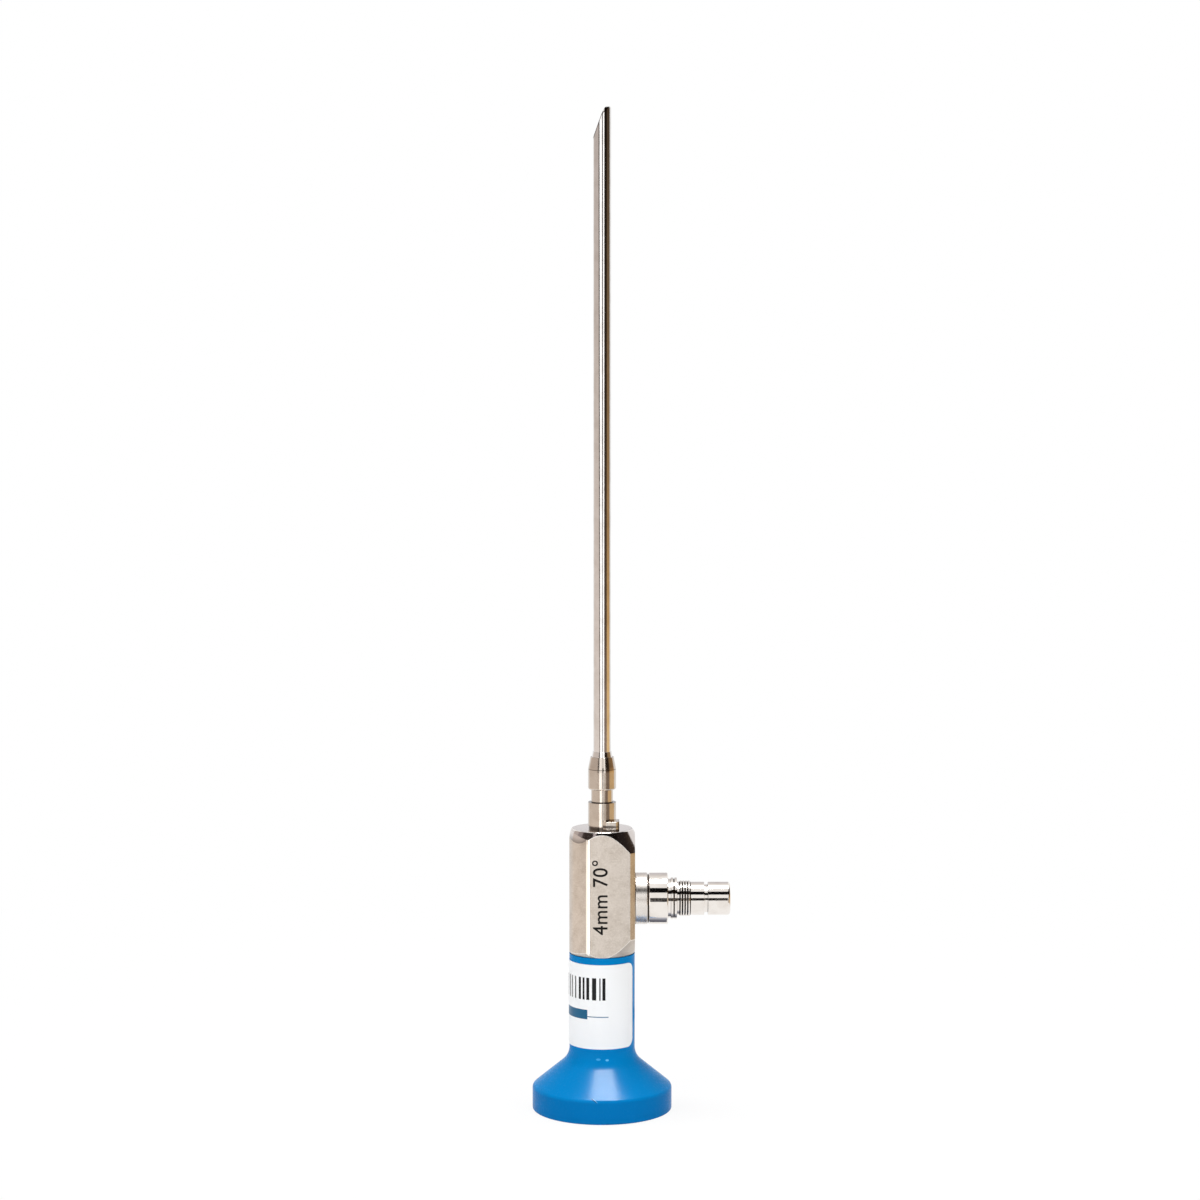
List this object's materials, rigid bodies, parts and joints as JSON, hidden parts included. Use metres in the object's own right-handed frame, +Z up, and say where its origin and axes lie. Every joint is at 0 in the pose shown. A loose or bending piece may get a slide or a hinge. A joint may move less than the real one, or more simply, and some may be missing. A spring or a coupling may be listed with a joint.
{
  "type": "rigid endoscope",
  "caption": "Straight rod-lens endoscope with a wide-angled bevelled tip, stepped light post, flat-sided steel body and flared plastic eyepiece.",
  "frame": {"origin": "centre of the eyepiece face, on the shaft axis", "axes": "+Z up the shaft to the tip, +X along the light post, -Y out of the front flat of the body"},
  "size_m": [0.0453, 0.032, 0.228],
  "materials": {
    "blue_polymer": "turned blue polymer, satin, with fine tool rings near the rim",
    "black_ring": "black anodised",
    "optical_glass": "polished optical glass",
    "seal_rubber": "black sealing rubber",
    "anodised_tube": "matt black anodised",
    "spring_steel": "spring steel",
    "body_steel": "stainless steel with satin flats and polished turned ends",
    "ferrule_steel": "turned stainless steel, softly polished",
    "bush_brass": "turned brass",
    "tube_steel": "polished stainless tube",
    "post_steel": "polished turned stainless steel",
    "light_fibre": "packed glass fibres, potted and polished at the ends",
    "label_film": "white printed film with a matt laminate"
  },
  "bodies": {
    "root": {"eyepiece_cup": "blue_polymer", "window_ring": "black_ring", "eyepiece_window": "optical_glass", "window_gasket": "seal_rubber", "ocular_barrel": "anodised_tube", "ocular_eye_lens": "optical_glass", "ocular_spacer": "anodised_tube", "ocular_field_lens": "optical_glass", "ocular_long_spacer": "anodised_tube", "disc_spring": "spring_steel", "field_stop": "anodised_tube", "neck_seal": "seal_rubber", "body_housing": "body_steel", "sheath_ferrule": "ferrule_steel", "locating_lug": "ferrule_steel", "optics_bush": "bush_brass", "optics_tube": "tube_steel", "rod_spacer_1": "bush_brass", "rod_spacer_2": "bush_brass", "rod_spacer_3": "bush_brass", "rod_spacer_4": "bush_brass", "rod_spacer_5": "bush_brass", "rod_spacer_6": "bush_brass", "rod_spacer_7": "bush_brass", "rod_lens_1": "optical_glass", "rod_lens_2": "optical_glass", "rod_lens_3": "optical_glass", "rod_lens_4": "optical_glass", "rod_lens_5": "optical_glass", "rod_lens_6": "optical_glass", "objective_front_lens": "optical_glass", "objective_spacer": "bush_brass", "objective_rear_lens": "optical_glass", "tip_prism": "optical_glass", "tip_window": "optical_glass", "sheath_tube": "tube_steel", "fibre_sleeve": "light_fibre", "fibre_strand": "light_fibre", "fibre_rod": "light_fibre", "light_post_inner_ring": "post_steel", "light_post_outer_ring": "post_steel", "light_post_core": "post_steel", "adhesive_label": "label_film"}
  },
  "joints": []
}
